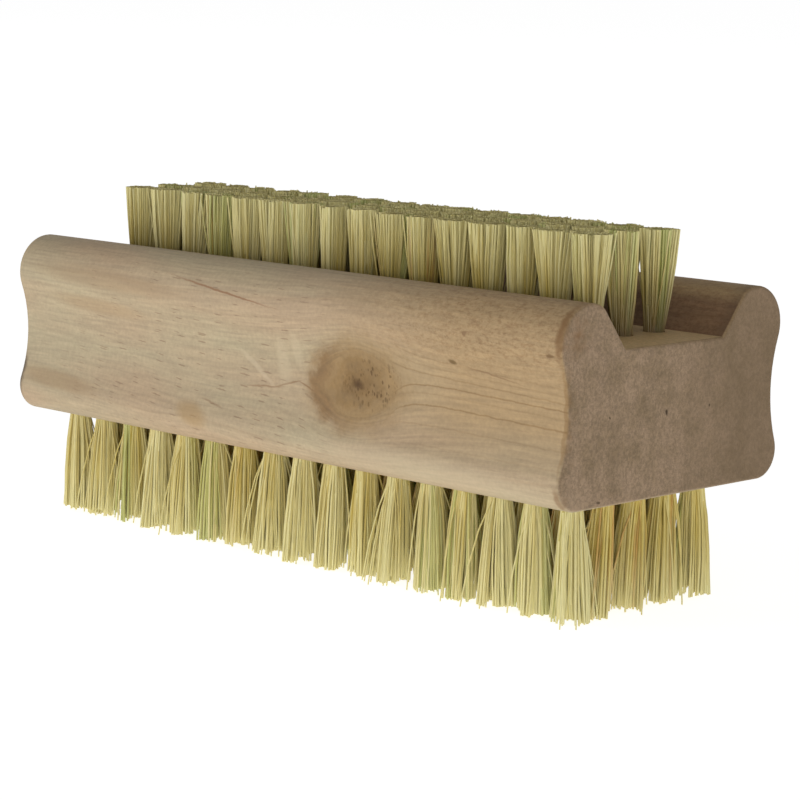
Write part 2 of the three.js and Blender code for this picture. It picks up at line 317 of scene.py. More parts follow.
def half_section():
    """One side of the block's cross-section, from its underside round to the foot of the groove wall:
    lower lobe, finger hollow, upper lobe and lip are arcs that run into each other."""
    half_width = BLOCK_WIDTH / 2
    lower = Vector((half_width - LOWER_LOBE_RADIUS, LOWER_LOBE_RADIUS))
    upper = Vector((half_width - UPPER_LOBE_RADIUS, BLOCK_HEIGHT - UPPER_LOBE_RADIUS))

    rise = upper.y - lower.y
    lower_term = HOLLOW_DEPTH * (2 * LOWER_LOBE_RADIUS - HOLLOW_DEPTH)
    upper_term = HOLLOW_DEPTH * (2 * UPPER_LOBE_RADIUS - HOLLOW_DEPTH)
    lower_rise = (rise**2 + lower_term - upper_term) / (2 * rise)
    hollow_radius = (lower_rise**2 - lower_term) / (2 * HOLLOW_DEPTH)
    hollow = Vector((half_width - HOLLOW_DEPTH + hollow_radius, lower.y + lower_rise))
    lower_touch = turn_of(hollow - lower)
    upper_touch = turn_of(hollow - upper)

    foot = Vector((GROOVE_FLOOR_WIDTH / 2, BLOCK_HEIGHT - GROOVE_DEPTH))
    along_wall = Vector((math.sin(GROOVE_WALL_LEAN), math.cos(GROOVE_WALL_LEAN)))
    into_wood = Vector((along_wall.y, -along_wall.x))
    from_upper = foot + into_wood * GROOVE_LIP_RADIUS - upper
    reach = UPPER_LOBE_RADIUS - GROOVE_LIP_RADIUS
    back = from_upper.dot(along_wall)
    climb = math.sqrt(back**2 - from_upper.length_squared + reach**2) - back
    lip = upper + from_upper + along_wall * climb
    lip_start = turn_of(lip - upper)

    return [
        Vector((lower.x, 0)),
        *arc(lower, LOWER_LOBE_RADIUS, -math.pi / 2, lower_touch),
        *arc(hollow, hollow_radius, lower_touch + math.pi, upper_touch + math.pi),
        *arc(upper, UPPER_LOBE_RADIUS, upper_touch, lip_start),
        *arc(lip, GROOVE_LIP_RADIUS, lip_start, turn_of(-into_wood)),
        foot,
    ]


def drawn_in(section, distance):
    """The section moved inwards by a distance, square to its own outline."""
    least = 0.5  # holds back the points of sharp corners
    moved = []
    for i, point in enumerate(section):
        before = (point - section[i - 1]).normalized()
        after = (section[(i + 1) % len(section)] - point).normalized()
        middle = (before + after).normalized()
        outward = Vector((middle.y, -middle.x))
        moved.append(point - outward * distance / max(least, middle.dot(before)))
    return moved


def block_blank():
    """The section run along the brush, with a rounded edge round each sawn end."""
    right = half_section()
    section = right + [Vector((-p.x, p.y)) for p in reversed(right)]
    half = BLOCK_LENGTH / 2
    edge = []
    for i in range(EDGE_STEPS + 1):
        turn = math.pi / 2 * i / EDGE_STEPS
        x = half - END_EDGE_RADIUS * (1 - math.sin(turn))
        edge.append((x, END_EDGE_RADIUS * (1 - math.cos(turn))))
    edge.append((half, END_EDGE_RADIUS + RIM))
    stations = [(-x, inset) for x, inset in reversed(edge)] + edge

    points = []
    for x, inset in stations:
        points += [(x * MM, p.x * MM, (p.y + LOWER_FACE) * MM) for p in drawn_in(section, inset)]
    count = len(section)
    faces = [list(reversed(range(count))), list(range(len(points) - count, len(points)))]
    for ring in range(len(stations) - 1):
        start = ring * count
        for i in range(count):
            j = (i + 1) % count
            faces.append([start + i, start + j, start + count + j, start + count + i])
    blank = bpy.data.meshes.new("block_blank")
    blank.from_pydata(points, [], faces)
    return blank


def drilling_tree():
    """A field of blind holes drilled into one face of the block."""
    sizes = ("Half length", "Front", "Back", "Face height", "Hole radius", "Hole depth")
    tree, add = new_shape_tree("drilled_field", ("Columns", "Rows"), sizes)
    given = add("NodeGroupInput").outputs
    length = add(MATH, {0: given["Half length"], 1: 2.0}, operation="MULTIPLY")
    width = add(MATH, {0: given["Back"], 1: given["Front"]}, operation="SUBTRACT")
    middle = add(MATH, {0: width, 1: 0.5, 2: given["Front"]}, operation="MULTIPLY_ADD")
    depth = add(MATH, {0: given["Hole depth"], 1: 2.0}, operation="MULTIPLY")
    grid = {"Size X": length, "Size Y": width, "Vertices X": given["Columns"], "Vertices Y": given["Rows"]}
    centres = add("GeometryNodeMeshGrid", grid)
    on_face = add(JOIN, {"Y": middle, "Z": given["Face height"]})
    centres = add("GeometryNodeTransform", {"Geometry": centres, "Translation": on_face})
    hole = {"Vertices": HOLE_SIDES, "Radius": given["Hole radius"], "Depth": depth}
    drill = add("GeometryNodeMeshCylinder", hole)
    holes = add("GeometryNodeInstanceOnPoints", {"Points": centres, "Instance": drill})
    holes = add("GeometryNodeRealizeInstances", {"Geometry": holes})
    holes = add("GeometryNodeTransform", {"Geometry": holes, "Scale": (MM, MM, MM)})
    pair = {"Mesh 1": given["Mesh"], "Mesh 2": holes}
    drilled = add("GeometryNodeMeshBoolean", pair, operation="DIFFERENCE", solver="EXACT")
    whole = add("GeometryNodeRealizeInstances", {"Geometry": drilled})
    dressed = add("GeometryNodeSetMaterial", {"Geometry": whole, "Material": given["Material"]})
    add("NodeGroupOutput", {"Mesh": dressed})
    return tree


def block_piece(wood):
    """The drilled block, smooth but for its sharp edges."""
    drilling = drilling_tree()
    hole = HOLE | {"Material": wood}
    steps = [(drilling, hole | column(FIELDS, i)) for i in (0, 1)]
    piece = shaped("wooden_block", block_blank(), steps)
    piece.data.polygons.foreach_set("use_smooth", [True] * len(piece.data.polygons))
    piece.data.set_sharp_from_angle(angle=SHARP_EDGE)
    return piece


# Tufts


def tuft_row_tree():
    """One row of tufts. A fibre runs from the fold under its wire anchor up its hole and out to a
    trimmed tip; a tuft fans out, its fibres part into locks, and a few stray."""
    counts = ("Columns", "Fibres", "Seed")
    field_sizes = ("Half length", "Row offset", "Face height")
    sizes = field_sizes + tuple(FIBRE) + tuple(name for name in TUFTS if name not in counts)
    tree, add = new_shape_tree("tuft_row", counts, sizes)
    given = add("NodeGroupInput").outputs

    # Which tuft and which fibre of it a point is
    index = add("GeometryNodeInputIndex")
    count = add(INTEGER, {0: given["Columns"], 1: given["Fibres"]}, operation="MULTIPLY")
    tuft = add(INTEGER, {0: index, 1: given["Fibres"]}, operation="DIVIDE_FLOOR")
    fibre = add(INTEGER, {0: index, 1: given["Fibres"]}, operation="FLOORED_MODULO")

    # Where the hole is along the row
    last = add(MATH, {0: given["Columns"], 1: 1.0}, operation="SUBTRACT")
    share = add(MATH, {0: tuft, 1: last}, operation="DIVIDE")
    outward = add(RANGE, {"Value": share, "To Min": -1.0, "To Max": 1.0})
    seat_x = add(MATH, {0: outward, 1: given["Half length"]}, operation="MULTIPLY")
    seat = add(JOIN, {"X": seat_x, "Y": given["Row offset"]})

    # Where the fibre stands in the hole: an even spiral over the disc
    filled = add(MATH, {0: fibre, 1: 0.5}, operation="ADD")
    filled = add(MATH, {0: filled, 1: given["Fibres"]}, operation="DIVIDE")
    ring = add(MATH, {0: filled}, operation="SQRT")
    ring = add(JOIN, {"X": ring})
    turn = add(MATH, {0: fibre, 1: GOLDEN_ANGLE, 2: tuft}, operation="MULTIPLY_ADD")
    disc = add("ShaderNodeVectorRotate", {"Vector": ring, "Angle": turn}, rotation_type="Z_AXIS")
    root = add(VECTOR, {0: disc, 1: given["Root radius"], 2: seat}, operation="MULTIPLY_ADD")

    # Scatter: by tuft, by lock and by fibre
    seed_2, seed_3, seed_4 = (
        add(INTEGER, {0: given["Seed"], 1: step}, operation="ADD") for step in (1, 2, 3)
    )
    span = {"Min": (-1.0, -1.0, -1.0), "Max": (1.0, 1.0, 1.0)}
    by_tuft = add(RANDOM, span | {"ID": tuft, "Seed": given["Seed"]}, data_type="FLOAT_VECTOR")
    by_fibre = add(RANDOM, span | {"ID": index, "Seed": seed_2}, data_type="FLOAT_VECTOR")
    tone = add(RANDOM, {"ID": index, "Seed": seed_3})
    draw = add(RANDOM, {"ID": index, "Seed": seed_4})
    layer = add(JOIN, {"Z": given["Seed"]})
    lock_at = add(VECTOR, {0: root, 1: layer}, operation="ADD")
    lock = add(VORONOI, {"Vector": lock_at, "Scale": LOCKS_PER_MM}).outputs["Color"]
    lock_part = add(SPLIT, {0: lock}).outputs

    # How far the tip moves sideways
    tuft_part = add(SPLIT, {0: by_tuft}).outputs
    spread = add(RANGE, {"Value": tuft_part["X"], "From Min": -1.0, "To Min": 0.7, "To Max": 1.25})
    spread = add(MATH, {0: spread, 1: given["Fan"]}, operation="MULTIPLY")
    shift = add(VECTOR, {0: disc, 1: spread}, operation="MULTIPLY")
    shift = add(VECTOR, {0: by_tuft, 1: given["Lean"], 2: shift}, operation="MULTIPLY_ADD")
    parted = add(VECTOR, {0: lock, 1: NOISE_MEAN}, operation="SUBTRACT")
    shift = add(VECTOR, {0: parted, 1: given["Locks"], 2: shift}, operation="MULTIPLY_ADD")
    stray = add(MATH, {0: draw, 1: given["Stray share"]}, operation="LESS_THAN")
    loose = add(RANGE, {"Value": stray, "To Min": 0.2, "To Max": given["Stray reach"]})
    shift = add(VECTOR, {0: by_fibre, 1: loose, 2: shift}, operation="MULTIPLY_ADD")

    # How long the fibre is after the trimming
    step = add(RANGE, {"Value": tuft_part["X"], "From Min": -1.0})
    dip = add(MATH, {0: lock_part["Y"], 1: 2.0}, operation="POWER")
    cut = add(MATH, {0: dip, 1: given["Ragged"]}, operation="MULTIPLY")
    cut = add(MATH, {0: step, 1: given["Tuft step"], 2: cut}, operation="MULTIPLY_ADD")
    cut = add(MATH, {0: tone, 1: given["Jitter"], 2: cut}, operation="MULTIPLY_ADD")
    reach = add(MATH, {0: given["Free length"], 1: cut}, operation="SUBTRACT")

    # What a fibre's colour follows: its own, its lock's and its tuft's tone, and green in some locks
    tuft_tone = add(RANGE, {"Value": tuft_part["Z"], "From Min": -1.0})
    shade = add(MIX, {"Factor": LOCK_TONE, "A": tone, "B": lock_part["X"]})
    shade = add(MIX, {"Factor": TUFT_TONE, "A": shade, "B": tuft_tone})
    paler = add(MATH, {0: given["Paleness"], 1: 0.5}, operation="SUBTRACT")
    shade = add(MATH, {0: shade, 1: paler}, operation="ADD", use_clamp=True)
    green_lock = add(RANGE, {"Value": lock_part["Z"], "From Min": 0.76, "From Max": 0.88})
    green_tuft = add(RANGE, {"Value": tuft_part["Y"], "From Max": 0.5})
    green = add(MATH, {0: green_lock, 1: green_tuft}, operation="MULTIPLY")
    thick = add(RANGE, {"Value": draw, "To Min": 0.75, "To Max": 1.25})

    fibres = add("GeometryNodePoints", {"Count": count, "Position": root})
    form = (
        ("disc", disc, "FLOAT_VECTOR"),
        ("seat", seat, "FLOAT_VECTOR"),
        ("shift", shift, "FLOAT_VECTOR"),
        ("bow", by_fibre, "FLOAT_VECTOR"),
        ("reach", reach, "FLOAT"),
        ("thick", thick, "FLOAT"),
    )
    look = (("tone", shade, "FLOAT"), ("green", green, "FLOAT"))
    for name, value, kind in form + look:
        own = {"Geometry": fibres, "Name": name, "Value": value}
        fibres = add("GeometryNodeStoreNamedAttribute", own, data_type=kind)
    line = add("GeometryNodeCurvePrimitiveLine", {"Start": (0.0, 0.0, 0.0), "End": UPWARDS})
    line = add("GeometryNodeResampleCurve", {"Curve": line, "Count": FIBRE_POINTS})
    fibres = add("GeometryNodeInstanceOnPoints", {"Points": fibres, "Instance": line})
    fibres = add("GeometryNodeRealizeInstances", {"Geometry": fibres})

    # Along a fibre: its first points stand in the hole, the rest are free
    kept = {
        name: add("GeometryNodeInputNamedAttribute", {"Name": name}, data_type=kind)
        for name, _, kind in form
    }
    here = add("GeometryNodeInputPosition")
    on_line = add(SPLIT, {0: here}).outputs["Z"]
    free = add(RANGE, {"Value": on_line, "From Min": HOLE_SHARE})
    sunk = add(RANGE, {"Value": on_line, "From Min": HOLE_SHARE, "From Max": 0.0})
    rise = add(MATH, {0: free, 1: kept["reach"]}, operation="MULTIPLY")
    drop = add(MATH, {0: sunk, 1: given["Root depth"]}, operation="MULTIPLY")
    height = add(MATH, {0: rise, 1: drop}, operation="SUBTRACT")
    height = add(
        MATH, {0: height, 1: given["Direction"], 2: given["Face height"]}, operation="MULTIPLY_ADD"
    )

    # For the colour: how near a point is to the tip, and how much painted shade darkens it towards the root
    painted_root_shade = {"Value": free, "From Min": 0.8, "From Max": 0.0, "To Max": given["Root shade"]}
    shaded = add(RANGE, painted_root_shade, interpolation_type="SMOOTHSTEP")
    for name, value in (("tip", free), ("shaded", shaded)):
        own = {"Geometry": fibres, "Name": name, "Value": value}
        fibres = add("GeometryNodeStoreNamedAttribute", own)

    # In the hole the fibres part to both sides of the anchor and close under it in the fold
    side = add(SPLIT, {0: kept["disc"]}).outputs["X"]
    side = add(MATH, {0: side}, operation="SIGN")
    neck = add(RANGE, {"Value": sunk, "From Max": 0.5})
    fold = add(RANGE, {"Value": sunk, "From Min": 0.5, "To Max": 0.8})
    apart = add(MATH, {0: neck, 1: ANCHOR_PARTING}, operation="MULTIPLY")
    apart = add(MATH, {0: apart, 1: side}, operation="MULTIPLY")
    narrowed = add(MATH, {0: neck, 1: -ANCHOR_PRESS, 2: 1.0}, operation="MULTIPLY_ADD")
    root_x = add(VECTOR, {0: here, 1: kept["seat"]}, operation="SUBTRACT")
    root_x = add(SPLIT, {0: root_x}).outputs["X"]
    beside = add(MATH, {0: root_x, 1: narrowed, 2: apart}, operation="MULTIPLY_ADD")
    closed = add(MATH, {0: 1.0, 1: fold}, operation="SUBTRACT")
    beside = add(MATH, {0: beside, 1: closed}, operation="MULTIPLY")
    moved_x = add(MATH, {0: beside, 1: root_x}, operation="SUBTRACT")
    in_hole = add(JOIN, {"X": moved_x})

    # Above it they lean and bow
    bend = add(MATH, {0: free, 1: given["Flare"]}, operation="POWER")
    arch = add(MATH, {0: 1.0, 1: free}, operation="SUBTRACT")
    arch = add(MATH, {0: arch, 1: free}, operation="MULTIPLY")
    place = add(VECTOR, {0: here, 1: in_hole}, operation="ADD")
    place = add(VECTOR, {0: kept["shift"], 1: bend, 2: place}, operation="MULTIPLY_ADD")
    place = add(VECTOR, {0: kept["bow"], 1: arch, 2: place}, operation="MULTIPLY_ADD")
    level = add(SPLIT, {0: place}).outputs
    place = add(JOIN, {"X": level["X"], "Y": level["Y"], "Z": height})
    fibres = add("GeometryNodeSetPosition", {"Geometry": fibres, "Position": place})

    # Round fibres, each of its own thickness
    circle = {"Resolution": FIBRE_SIDES, "Radius": given["Fibre radius"]}
    outline = add("GeometryNodeCurvePrimitiveCircle", circle)
    sweep = {"Curve": fibres, "Profile Curve": outline, "Scale": kept["thick"], "Fill Caps": True}
    swept = add("GeometryNodeCurveToMesh", sweep)
    swept = add("GeometryNodeSetShadeSmooth", {"Geometry": swept})
    sized = add("GeometryNodeTransform", {"Geometry": swept, "Scale": (MM, MM, MM)})
    whole = add("GeometryNodeRealizeInstances", {"Geometry": sized})
    dressed = add("GeometryNodeSetMaterial", {"Geometry": whole, "Material": given["Material"]})
    add("NodeGroupOutput", {"Mesh": dressed})
    return tree


def tuft_pieces(fibre):
    """One piece a row: five below, three in the groove. Each comes with the node that it replaces."""
    tree = tuft_row_tree()
    pieces = []
    for i, side in enumerate(("lower", "upper")):
        field = column(FIELDS, i)
        last = field["Rows"] - 1
        for row in range(field["Rows"]):
            sizes = field | FIBRE | column(TUFTS, i) | {"Material": fibre}
            sizes["Row offset"] = field["Front"] + (field["Back"] - field["Front"]) * row / last
            sizes["Seed"] += SEED_STEP * row
            # Rows behind the first and rows between others take their painted shade
            if row > 0:
                sizes |= column(ROWS_BEHIND, i)
            if 0 < row < last:
                sizes |= column(ROWS_INSIDE, i)
            name = f"{side}_tufts_row{row + 1}"
            piece = shaped(name, bpy.data.meshes.new(name), [(tree, sizes)])
            pieces.append((piece, f"{side}_bristles"))
    return pieces


# Finishes


def knot_place(add, mm):
    """Where a point lies from the knot's heart, and how open the knot is at its depth: it closes towards
    the middle of the block."""
    turn = (0.0, -KNOT_SLOPE, 0.0)
    stretch = (KNOT_STRETCH, 1.0, 1.0)
    on_heart = {"Vector": mm, "Location": KNOT_HEART, "Rotation": turn, "Scale": stretch}
    place = add("ShaderNodeMapping", on_heart, vector_type="TEXTURE")
    part = add(SPLIT, {0: place}).outputs
    open_share = add(RANGE, {"Value": part["Y"], "From Max": KNOT_DEPTH, "To Min": 1.0, "To Max": 0.0})
    return place, open_share


def parted_grain(add, grain, place, open_share):
    """The grain flows round the knot as a stream flows round a post."""
    face = add(VECTOR, {0: place, 1: ALONG_AND_UP}, operation="MULTIPLY")
    square = add(VECTOR, {0: face, 1: face}, operation="DOT_PRODUCT").outputs["Value"]
    square = add(MATH, {0: square, 1: KNOT_RADIUS**2}, operation="MAXIMUM")
    pushed = add(MATH, {0: -(KNOT_RADIUS**2), 1: square}, operation="DIVIDE")
    pushed = add(MATH, {0: pushed, 1: open_share}, operation="MULTIPLY")
    height = add(VECTOR, {0: place, 1: UPWARDS}, operation="MULTIPLY")
    return add(VECTOR, {0: height, 1: pushed, 2: grain}, operation="MULTIPLY_ADD")


def knot_marks(add, mm, place, open_share):
    """The knot on the front: how much of each of its colours shows, and the colours."""
    part = add(SPLIT, {0: place}).outputs
    face = add(VECTOR, {0: place, 1: ALONG_AND_UP}, operation="MULTIPLY")
    reach = add(VECTOR, {0: face}, operation="LENGTH").outputs["Value"]
    wobble = add(NOISE, {"Vector": mm, "Scale": 0.4, "Detail": 4.0, "Roughness": 0.6})
    wobble = add(RANGE, {"Value": wobble, "To Min": -KNOT_WOBBLE, "To Max": KNOT_WOBBLE})
    blur = add(MATH, {0: reach, 1: wobble}, operation="ADD")

    # Brown stain with soft arcs in it
    arcs = add(MATH, {0: blur, 1: KNOT_ARC_TURN}, operation="MULTIPLY")
    arcs = add(MATH, {0: arcs}, operation="SINE")
    soft = {"Value": blur, "From Min": 7.6, "From Max": 2.6, "To Max": 0.92}
    stain = add(RANGE, soft, interpolation_type="SMOOTHSTEP")
    deeper = add(MATH, {0: arcs, 1: KNOT_ARC_TINT, 2: 1.0}, operation="MULTIPLY_ADD")
    stain = add(MATH, {0: stain, 1: deeper}, operation="MULTIPLY")

    # Dark crescent on the left
    left = add(RANGE, {"Value": part["X"], "From Min": -0.9, "From Max": -3.4})
    inner = add(RANGE, {"Value": blur, "From Min": 2.7, "From Max": 4.2})
    outer = add(RANGE, {"Value": blur, "From Min": 5.9, "From Max": 4.6, "To Max": 0.75})
    crescent = add(MATH, {0: inner, 1: outer}, operation="MULTIPLY")
    crescent = add(MATH, {0: crescent, 1: left}, operation="MULTIPLY")

    # Darker core, specks right of the heart, and the heart
    core = add(RANGE, {"Value": blur, "From Min": 3.4, "From Max": 0.4, "To Max": 0.75})
    flat = add(VECTOR, {0: face, 1: KNOT_SPECK_CELLS}, operation="MULTIPLY")
    speck = add(VORONOI, {"Vector": flat, "Scale": 1.0})
    speck_draw = add(SPLIT, {0: speck.outputs["Color"]}).outputs["X"]
    speck_size = add(RANGE, {"Value": speck_draw, "From Min": 0.1, "To Max": 0.72})
    speck = add(MATH, {0: speck_size, 1: speck.outputs["Distance"]}, operation="SUBTRACT")
    speck = add(RANGE, {"Value": speck, "From Max": 0.2, "To Max": 0.8})
    from_specks = add(VECTOR, {0: face, 1: KNOT_SPECK_CENTRE}, operation="DISTANCE")
    near = add(RANGE, {"Value": from_specks.outputs["Value"], "From Min": 3.6, "From Max": 1.8})
    speck = add(MATH, {0: speck, 1: near}, operation="MULTIPLY")
    heart = add(MATH, {0: wobble, 1: HEART_WOBBLE, 2: reach}, operation="MULTIPLY_ADD")
    heart = add(RANGE, {"Value": heart, "From Min": 0.9, "From Max": 0.1, "To Max": 0.9})
    marks = (
        (stain, "#93774F"),
        (crescent, "#80623E"),
        (core, "#74572F"),
        (speck, "#5E4527"),
        (heart, "#4C3418"),
    )
    return [(add(MATH, {0: part, 1: open_share}, operation="MULTIPLY"), shade) for part, shade in marks]


def late_wood(add, at, grain):
    """Thin dark lines of late wood: on the front they run out from the knot to the right-hand end, and
    elsewhere they are rings round a pith below and behind the block. The rings are faint on the front."""
    front = add(RANGE, {"Value": at["Y"], "From Min": -10.0, "From Max": -14.0})
    run = add(MATH, {0: BLOCK_LENGTH / 2, 1: at["X"]}, operation="SUBTRACT")
    bent = add(MATH, {0: LINE_BEND_START, 1: at["X"]}, operation="SUBTRACT")
    bent = add(MATH, {0: bent, 1: LINE_BEND_LENGTH}, operation="DIVIDE")
    bent = add(MATH, {0: bent}, operation="EXPONENT")
    lines = 0.0
    for end_height, rise, bend, strength in LATE_WOOD_LINES:
        height = add(MATH, {0: run, 1: rise, 2: end_height}, operation="MULTIPLY_ADD")
        height = add(MATH, {0: bent, 1: bend, 2: height}, operation="MULTIPLY_ADD")
        off = add(MATH, {0: at["Z"], 1: height}, operation="SUBTRACT")
        off = add(MATH, {0: off}, operation="ABSOLUTE")
        line = add(RANGE, {"Value": off, "From Min": 0.15, "From Max": 0.02, "To Max": strength})
        lines = add(MATH, {0: lines, 1: line}, operation="MAXIMUM")
    right = add(RANGE, {"Value": at["X"], "From Min": 19.5, "From Max": 23.0})
    lines = add(MATH, {0: lines, 1: right}, operation="MULTIPLY")
    lines = add(MATH, {0: lines, 1: front}, operation="MULTIPLY")

    from_pith = add(VECTOR, {0: grain, 1: PITH}, operation="SUBTRACT")
    from_pith = add(VECTOR, {0: from_pith, 1: ACROSS_AND_UP}, operation="MULTIPLY")
    from_pith = add(VECTOR, {0: from_pith}, operation="LENGTH").outputs["Value"]
    ring = add(MATH, {0: from_pith, 1: YEAR_WIDTH}, operation="DIVIDE")
    year = add(MATH, {0: ring}, operation="FRACT")
    number = add(MATH, {0: ring}, operation="FLOOR")
    draw = add("ShaderNodeTexWhiteNoise", {"W": number}, noise_dimensions="1D")
    line_in = add(RANGE, {"Value": year, "From Min": 0.8, "From Max": 0.93})
    line_out = add(RANGE, {"Value": year, "From Min": 1.0, "From Max": 0.95})
    rings = add(MATH, {0: line_in, 1: line_out}, operation="MULTIPLY")
    rings = add(MATH, {0: rings, 1: draw}, operation="MULTIPLY")
    shown = add(RANGE, {"Value": front, "To Min": 0.6, "To Max": 0.12})
    rings = add(MATH, {0: rings, 1: shown}, operation="MULTIPLY")
    return add(MATH, {0: lines, 1: rings}, operation="MAXIMUM")


def ray_flecks(add, grain, at, facing):
    """Short dark dashes, up to about 2 mm long and 0.2 mm high, on the sides of the block: darker left of
    the knot than right of it, and fading towards the left-hand end."""
    grain_part = add(SPLIT, {0: grain}).outputs
    other_side = add(MATH, {0: at["Y"], 1: 0.0}, operation="GREATER_THAN")
    column = add(MATH, {0: other_side, 1: BACK_SHIFT, 2: at["X"]}, operation="MULTIPLY_ADD")
    slant = add(MATH, {0: at["X"], 1: FLECK_SLOPE, 2: grain_part["Z"]}, operation="MULTIPLY_ADD")
    cell = add(JOIN, {"X": column, "Y": slant})
    cell = add(VECTOR, {0: cell, 1: FLECK_CELLS}, operation="MULTIPLY")
    ragged = add(NOISE, {"Vector": grain, "Scale": 1.5, "Detail": 2.0}).outputs["Color"]
    cell = add(VECTOR, {0: ragged, 1: FLECK_FRAY, 2: cell}, operation="MULTIPLY_ADD")
    fleck = add(VORONOI, {"Vector": cell, "Scale": 1.0}, voronoi_dimensions="2D")
    draw = add(SPLIT, {0: fleck.outputs["Color"]}).outputs["X"]
    size = add(RANGE, {"Value": draw, "From Min": 0.35, "To Max": 0.26})
    depth = add(MATH, {0: size, 1: fleck.outputs["Distance"]}, operation="SUBTRACT")
    mark = add(RANGE, {"Value": depth, "From Max": 0.1})
    spread = add(RANGE, {"Value": at["X"], "From Min": 4.0, "From Max": 14.0, "To Min": 0.5, "To Max": 0.1})
    sparse = add(RANGE, {"Value": at["X"], "From Min": -46.0, "From Max": -28.0})
    spread = add(MATH, {0: spread, 1: sparse}, operation="MULTIPLY")
    on_side = add(RANGE, {"Value": facing["Y"], "From Min": 0.5, "From Max": 0.95})
    mark = add(MATH, {0: mark, 1: spread}, operation="MULTIPLY")
    return add(MATH, {0: mark, 1: on_side}, operation="MULTIPLY")


def end_grain(add, mm):
    """The sawn ends: greyish pink and greyish brown blotches, faint upright bands, and fine pores."""
    blotch = add(NOISE, {"Vector": mm, "Scale": 0.22, "Detail": 5.0, "Roughness": 0.65})
    blotch = add(RANGE, {"Value": blotch, "From Min": 0.36, "From Max": 0.64})
    # The ends are darker than the sides: partly the tone of end grain, partly painted shade
    colour = add(MIX, {"Factor": blotch, "A": linear("#978067"), "B": linear("#816D53")}, data_type="RGBA")
    band_at = add(VECTOR, {0: mm, 1: END_BAND_CELLS}, operation="MULTIPLY")
    band = add(NOISE, {"Vector": band_at, "Scale": 1.0, "Detail": 3.0})
    band_tone = add(
        RANGE, {"Value": band, "From Min": 0.3, "From Max": 0.7, "To Min": 0.95, "To Max": 1.05}
    )
    pore = add(NOISE, {"Vector": mm, "Scale": 2.6, "Detail": 3.0, "Roughness": 0.8})
    pore_tone = add(
        RANGE, {"Value": pore, "From Min": 0.38, "From Max": 0.62, "To Min": 0.78, "To Max": 1.2}
    )
    tone = add(MATH, {0: band_tone, 1: pore_tone}, operation="MULTIPLY")
    colour = add(VECTOR, {0: colour, "Scale": tone}, operation="SCALE")
    return colour, pore


